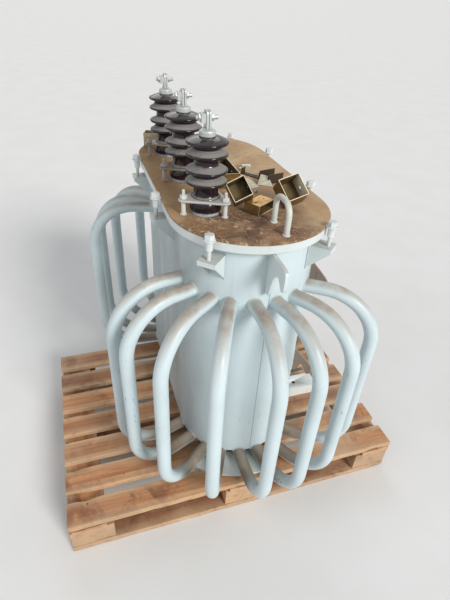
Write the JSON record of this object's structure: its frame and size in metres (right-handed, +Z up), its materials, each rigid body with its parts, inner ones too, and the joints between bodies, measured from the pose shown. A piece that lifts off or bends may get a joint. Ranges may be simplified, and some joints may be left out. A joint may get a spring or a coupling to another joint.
{
  "type": "power transformer",
  "caption": "Oil-filled power transformer with an oval tank, bent cooling tubes and porcelain bushings, standing on a wooden pallet.",
  "frame": {"origin": "On the floor under the middle of the whole: the middle of the pallet's long way, and the middle of the tank's length.", "axes": "+X runs across the tank, away from the bushing row; +Y runs along the tank, from the end with the lifting eye to the other end; +Z is up."},
  "size_m": [1.2008, 1.3744, 1.3129],
  "materials": {
    "deck_wood": "rough sawn",
    "runner_wood": "rough sawn",
    "rail_paint": "dusty satin",
    "tank_paint": "satin",
    "cover_paint": "dusty",
    "tube_paint": "satin",
    "clamp_steel": "satin",
    "eye_paint": "dusty",
    "porcelain_glaze": "glossy",
    "seal_rubber": "matte",
    "flange_steel": "dusty",
    "terminal_metal": "satin",
    "sheet_steel": "yellow passivated"
  },
  "bodies": {
    "root": {"box_back": "sheet_steel", "box_far": "sheet_steel", "box_front": "sheet_steel", "box_middle": "sheet_steel", "box_right": "sheet_steel", "clamp_far_left": "clamp_steel", "clamp_far_right": "clamp_steel", "clamp_near_left": "clamp_steel", "clamp_near_right": "clamp_steel", "clamp_side_left_far": "clamp_steel", "clamp_side_left_near": "clamp_steel", "clamp_side_right_far": "clamp_steel", "clamp_side_right_near": "clamp_steel", "cover": "cover_paint", "end_foot": "rail_paint", "flange_far": "flange_steel", "flange_middle": "flange_steel", "flange_near": "flange_steel", "lifting_eye": "eye_paint", "pallet_deck": "deck_wood", "pallet_runner_far": "runner_wood", "pallet_runner_middle": "runner_wood", "pallet_runner_near": "runner_wood", "porcelain_far": "porcelain_glaze", "porcelain_middle": "porcelain_glaze", "porcelain_near": "porcelain_glaze", "rail_far": "rail_paint", "rail_near": "rail_paint", "seal_far": "seal_rubber", "seal_middle": "seal_rubber", "seal_near": "seal_rubber", "tank_floor": "tank_paint", "tank_rim": "tank_paint", "tank_wall": "tank_paint", "terminal_far": "terminal_metal", "terminal_middle": "terminal_metal", "terminal_near": "terminal_metal", "tube_far_1": "tube_paint", "tube_far_2": "tube_paint", "tube_far_3": "tube_paint", "tube_far_4": "tube_paint", "tube_far_5": "tube_paint", "tube_far_6": "tube_paint", "tube_far_7": "tube_paint", "tube_far_8": "tube_paint", "tube_near_1": "tube_paint", "tube_near_2": "tube_paint", "tube_near_3": "tube_paint", "tube_near_4": "tube_paint", "tube_near_5": "tube_paint", "tube_near_6": "tube_paint", "tube_near_7": "tube_paint", "tube_near_8": "tube_paint"}
  },
  "joints": []
}
